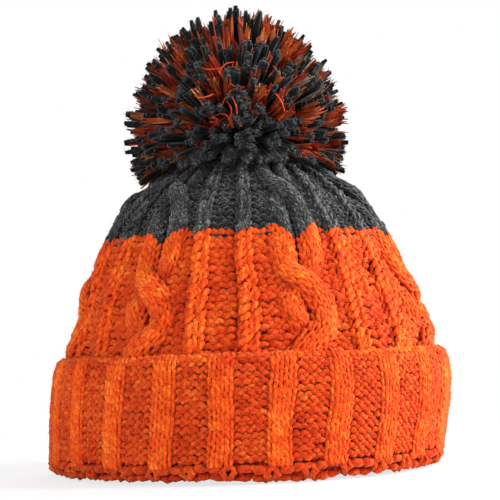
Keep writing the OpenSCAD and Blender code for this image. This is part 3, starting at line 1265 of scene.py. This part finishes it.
def makeStrands(name, look, directions, lengths, random, material):
    # strands below the middle of the pom become pieces of their own, split between front and sides
    each, samples = look["yarns"], len(look["radii"])
    paths, normals = makeBundles(directions, lengths * look["length"], look, random)
    paths[:, -2] = paths[:, -2] * (1 - look["tipShare"]) + paths[:, -1] * look["tipShare"]
    radii = np.array(look["radii"])[None] * random.uniform(*look["vary"], (len(paths), 1))
    tone, paintedShade = strandTones(random, len(directions), samples, each)
    tubes = makeTubes(paths, normals, radii, look["sides"], tone, paintedShade)
    low = directions[:, 2] < 0
    front = np.abs(directions[:, 1]) > np.abs(directions[:, 0])
    groups = {}
    for suffix, chosen, joint in (("", ~low, None), ("_low_front", low & front, "pom_nod"),
                                  ("_low_side", low & ~front, "pom_sway")):
        if not chosen.any():
            continue
        kept = {key: value[np.repeat(chosen, each)] for key, value in tubes.items()}
        node = pom["replaces"].get(name + suffix)
        piece = makePiece(name + suffix, [kept], material, "pom", node, cell=6)
        if joint:
            pressStrands(piece)
        groups[suffix] = kept
    return groups


def makeHeart():
    turns = heart["radius"] * heart["rounds"] / (heart["yarn"] * heart["spacing"])
    t = np.linspace(0, 1, int(turns * heart["samples"]))
    tilt = heart["lowest"] + t * (math.pi / 2 - heart["lowest"])
    turn = 2 * math.pi * turns * t
    places = np.stack([np.cos(tilt) * np.cos(turn), np.cos(tilt) * np.sin(turn), np.sin(tilt)], -1)
    points = heart["radius"] * places
    normals = unit(points)
    ripple = normals * heart["ripple"] * np.sin(turn * heart["rippleTurns"])[:, None]
    points = keepOffCrown(points + pom["centre"] + ripple)
    same = np.ones((1, len(t)))
    # painted shade over the whole heart
    coil = makeTubes(points[None], normals[None], same * heart["yarn"], 6, None, same)
    makePiece("pom_heart", [coil], pomCharcoal, "pom", "pom_core")


def makeLooseFilaments(random):
    # they lie curled across the front
    look = looseFilament
    count, samples = look["count"], look["samples"]
    f = np.linspace(0, 1, samples)[None, :, None]
    loose = unit(random.normal(0, look["spread"], (count, 3)) + look["towards"])
    across = unit(np.cross(loose, random.normal(0, 1, loose.shape)))
    curl = unit(np.cross(loose, across)) * random.normal(0, look["curl"], (count, 1))
    reach = (pomReach(loose) * random.uniform(*look["reach"], count))[:, None, None]
    length = random.uniform(*look["length"], count)[:, None, None]
    points = loose[:, None] * (reach + look["rise"] * np.sin(np.pi * f))
    points = points + across[:, None] * length * (f - 0.5)
    points = points + curl[:, None] * np.sin(np.pi * f)
    normals = np.broadcast_to(loose[:, None], points.shape)
    tone, paintedShade = strandTones(random, count, samples)
    radii = np.full((count, samples), look["radius"])
    curls = makeTubes(points + pom["centre"], normals, radii, 5, tone * look["toneShare"], paintedShade * 0)
    makePiece("pom_loose_filaments", [curls], pomRust, "pom", cell=9)


def choosePom(random):
    # every strand's direction and length, and which strands have which colour
    total = pom["charcoal"] + pom["orange"] + pom["rust"] + pom["marl"]
    directions = evenDirections(total, random)
    clumps = evenDirections(pom["clumps"], random)
    nearest = np.argmax(directions @ clumps.T, axis=1)
    low = directions @ unit(pom["lowFront"])
    order = random.permutation(total)
    isLow = low[order] >= pom["lowFrontFrom"]
    order = np.concatenate([order[~isLow], order[isLow]])
    leaned = unit(directions * (1 - pom["clumping"]) + clumps[nearest] * pom["clumping"])
    middle, uneven, shortest, longest = pom["lengths"]
    clumpLength = random.normal(0, uneven, len(clumps))[nearest]
    lengths = middle + clumpLength + random.normal(0, uneven, total)
    lengths = pomReach(leaned) * np.clip(lengths, shortest, longest)
    # the marl strands are together at the upper right
    towards = leaned[order] @ unit(pom["marlTowards"])
    isMarl = np.zeros(total, bool)
    isMarl[order[np.argsort(-towards)[:pom["marlEvery"] * pom["marl"]:pom["marlEvery"]]]] = True
    order = order[~isMarl[order]]
    orange, rust, charcoal = np.split(order, [pom["orange"], pom["orange"] + pom["rust"]])
    marl = np.where(isMarl)[0]
    return leaned, lengths, {"charcoal": charcoal, "orange": orange, "rust": rust, "marl": marl}


def makePom():
    random = np.random.default_rng(pom["seed"])
    directions, lengths, chosen = choosePom(random)

    def makeColour(kind, look, material):
        mine = chosen[kind]
        return makeStrands("pom_" + kind, look, directions[mine], lengths[mine], random, material)

    groups = makeColour("charcoal", thickStrand, pomCharcoal)
    makeColour("orange", thinStrand, pomOrange)
    makeColour("rust", thinStrand, pomRust)
    makeLooseFilaments(random)
    makeColour("marl", thinStrand, marlYarn)
    return groups


makeHeart()
pomGroups = makePom()
print("pom made")


# loose fibres soften every edge
fibreLook = {
    "seed": 101,         # times the number of letters in the piece's name
    "upward": 0.7,
    "roughness": 0.7,
    "specular": 0.2,
    "alongYarn": 0.35,
    "outward": 0.25,
    "scatter": 0.54,
    "lowest": 0.05,      # one that heads outward by less than this is raised
    "raise": 0.7,
    "curl": 0.55,
    "curlShare": 0.6,
    "rooted": 0.3,       # it begins this far inside the yarn
    "lengths": (0.4, 1.3),
    "radii": [1, 1, 0.8, 0.3],
    "vary": (0.7, 1.4),
    "sides": 3,
    # how many, how long and how thick
    "sorts": {
        "body_fibres": (9900, 1.9, 0.11),
        "crown_fibres": (7500, 1.6, 0.10),
        "cuff_fibres": (9900, 1.8, 0.11),
        "pom_fibres": (9900, 2.2, 0.12),
        "pom_fibres_low_front": (4000, 2.2, 0.12),
        "pom_fibres_low_side": (4000, 2.2, 0.12),
    },
}


def fibreMaterial(name, dark, light):
    material, tree = newMaterial(name)
    base = mixColour(tree, doMath(tree, "MULTIPLY", readAttribute(tree, "tone"), 0.5), dark, light)
    shader = addNode(tree, "ShaderNodeBsdfPrincipled", {
        "Base Color": base,
        "Roughness": fibreLook["roughness"],
        "Specular IOR Level": fibreLook["specular"],
    })
    addNode(tree, "ShaderNodeOutputMaterial", {0: shader.outputs[0]})
    return material


def makeFibres(name, tubes, material, bodyName, centre, facing=0.45):
    # they grow only where the yarn faces outward by more than facing
    look = fibreLook
    count, length, thickness = look["sorts"][name]
    random = np.random.default_rng(len(name) * look["seed"])
    verts = np.concatenate([t["verts"].reshape(-1, 3) for t in tubes])
    rings = unit(np.concatenate([t["ring"].reshape(-1, 3) for t in tubes]))
    outward = unit((verts - centre) * np.array([1, 1, look["upward"]]))
    chosen = random.choice(np.where(np.sum(rings * outward, -1) > facing)[0], count)
    start, rings, outward = verts[chosen], rings[chosen], outward[chosen]
    scatter = random.normal(0, look["scatter"], (count, 3))
    heading = unit(rings * look["alongYarn"] + outward * look["outward"] + scatter)
    inward = np.sum(heading * outward, -1, keepdims=True) < look["lowest"]
    heading = np.where(inward, unit(heading + outward * look["raise"]), heading)
    curl = random.normal(0, look["curl"], (count, 3))
    reach = (length * random.uniform(*look["lengths"], count))[:, None, None]
    samples = len(look["radii"])
    f = np.linspace(0, 1, samples)[None, :, None]
    paths = heading[:, None] * f + curl[:, None] * f ** 2 * look["curlShare"]
    paths = start[:, None] - heading[:, None] * look["rooted"] + reach * paths
    normals = np.broadcast_to(unit(np.cross(heading, curl))[:, None], paths.shape)
    radii = thickness / 2 * np.array(look["radii"])[None] * random.uniform(*look["vary"], (count, 1))
    tone = np.repeat(random.uniform(0, 2, (count, 1)), samples, 1)
    fibres = makeTubes(paths, normals, radii, look["sides"], tone)
    return makePiece(name, [fibres], material, bodyName, cell=3)


orangeFibre = fibreMaterial("orange_fibre", (0.80, 0.09, 0.012), (1.0, 0.34, 0.10))
charcoalFibre = fibreMaterial("charcoal_fibre", (0.03, 0.031, 0.033), (0.28, 0.29, 0.30))
pomFibre = fibreMaterial("pom_fibre", (0.03, 0.03, 0.032), (0.16, 0.155, 0.15))
hatCentre = np.array([0, 0, 60.0])
cuffCentre = np.array([0, 0, 30.0])
makeFibres("body_fibres", bodyTubes, orangeFibre, "hat", hatCentre)
makeFibres("crown_fibres", crownTubes, charcoalFibre, "hat", hatCentre)
cuffTubes = [tubes for piece, tubes in cuffPieces if tubes]
cuffFibres = makeFibres("cuff_fibres", cuffTubes, orangeFibre, "cuff", cuffCentre)
cuffPieces.append((cuffFibres, None))
for suffix, joint in (("", None), ("_low_front", "pom_nod"), ("_low_side", "pom_sway")):
    tips = {key: pomGroups[suffix][key][:, -3:] for key in ("verts", "ring")}
    fibres = makeFibres("pom_fibres" + suffix, [tips], pomFibre, "pom", pom["centre"], -2)
    if joint:
        pressStrands(fibres)
print("fibres made")


# each cuff piece gets a mesh of its own
for piece, tubes in cuffPieces:
    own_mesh(piece)


stage = {
    "floorSize": 12.0,
    "floorColour": (0.86, 0.86, 0.86),
    "whiteShare": 0.75,  # of what the camera sees of the floor near the hat
    "nearHat": 0.14,
    "farAway": 0.45,     # all of it is white from here on
    "worldLight": 0.32,
    "lamps": {
        "key": {"place": (1.5, -0.5, 0.95), "aim": (0, 0, 0.12), "size": 0.6, "power": 39},
        "fill": {"place": (-1.0, -1.3, 0.7), "aim": (0, 0, 0.1), "size": 1.2, "power": 18.5},
        "back": {"place": (0.2, 1.3, 1.2), "aim": (0, 0, 0.15), "size": 0.9, "power": 14},
        "rim": {"place": (1.4, 0.3, 0.5), "aim": (0, 0, 0.13), "size": 0.4, "power": 24},
    },
}


def seenByCamera(tree):
    # straight, in a mirror or through glass
    path = addNode(tree, "ShaderNodeLightPath").outputs
    seen = doMath(tree, "MAXIMUM", path["Is Camera Ray"], path["Is Glossy Ray"])
    return doMath(tree, "MAXIMUM", seen, path["Is Transmission Ray"])


def floorMaterial():
    material, tree = newMaterial("pale_floor")
    matt = addNode(tree, "ShaderNodeBsdfDiffuse", {"Color": stage["floorColour"]}).outputs[0]
    white = addNode(tree, "ShaderNodeEmission", {"Strength": 1.0}).outputs[0]
    where = addNode(tree, "ShaderNodeTexCoord").outputs["Object"]
    length = addNode(tree, "ShaderNodeVectorMath", {0: where}, operation="LENGTH").outputs["Value"]
    far = addNode(tree, "ShaderNodeMapRange", {
        "Value": length,
        "From Min": stage["nearHat"],
        "From Max": stage["farAway"],
        "To Min": stage["whiteShare"],
        "To Max": 1.0,
    }).outputs["Result"]
    share = doMath(tree, "MULTIPLY", seenByCamera(tree), far)
    mix = addNode(tree, "ShaderNodeMixShader", {0: share, 1: matt, 2: white}).outputs[0]
    addNode(tree, "ShaderNodeOutputMaterial", {0: mix})
    return material


def makeFloor():
    bpy.ops.mesh.primitive_plane_add(size=stage["floorSize"], location=(0, 0, cadLow.z))
    floor = bpy.context.object
    floor.name = "floor"
    floor.data.materials.append(floorMaterial())
    # the hat stands on its fold, so the floor goes down with it when the cuff is turned down
    floor.parent = frame["bodies"]["cuff"]


def makeWorld():
    world = bpy.data.worlds.new("studio")
    bpy.context.scene.world = world
    world.use_nodes = True
    tree = world.node_tree
    tree.nodes.clear()
    soft = addNode(tree, "ShaderNodeBackground", {"Color": (1, 1, 1), "Strength": stage["worldLight"]})
    white = addNode(tree, "ShaderNodeBackground", {"Color": (1, 1, 1), "Strength": 1.0})
    seen = seenByCamera(tree)
    mix = addNode(tree, "ShaderNodeMixShader", {0: seen, 1: soft.outputs[0], 2: white.outputs[0]})
    addNode(tree, "ShaderNodeOutputWorld", {0: mix.outputs[0]})


def addLamp(name, place, aim, size, power):
    data = bpy.data.lights.new(name, "AREA")
    data.shape = "DISK"
    data.size = size
    data.energy = power
    lamp = linkObject(name, data)
    lamp.location = place
    lamp.rotation_mode = "QUATERNION"
    lamp.rotation_quaternion = (Vector(aim) - lamp.location).to_track_quat("-Z", "Y")


makeFloor()
makeWorld()
for name, lamp in stage["lamps"].items():
    addLamp(name, **lamp)
bpy.context.scene.view_settings.view_transform = "Standard"
print("stage made")
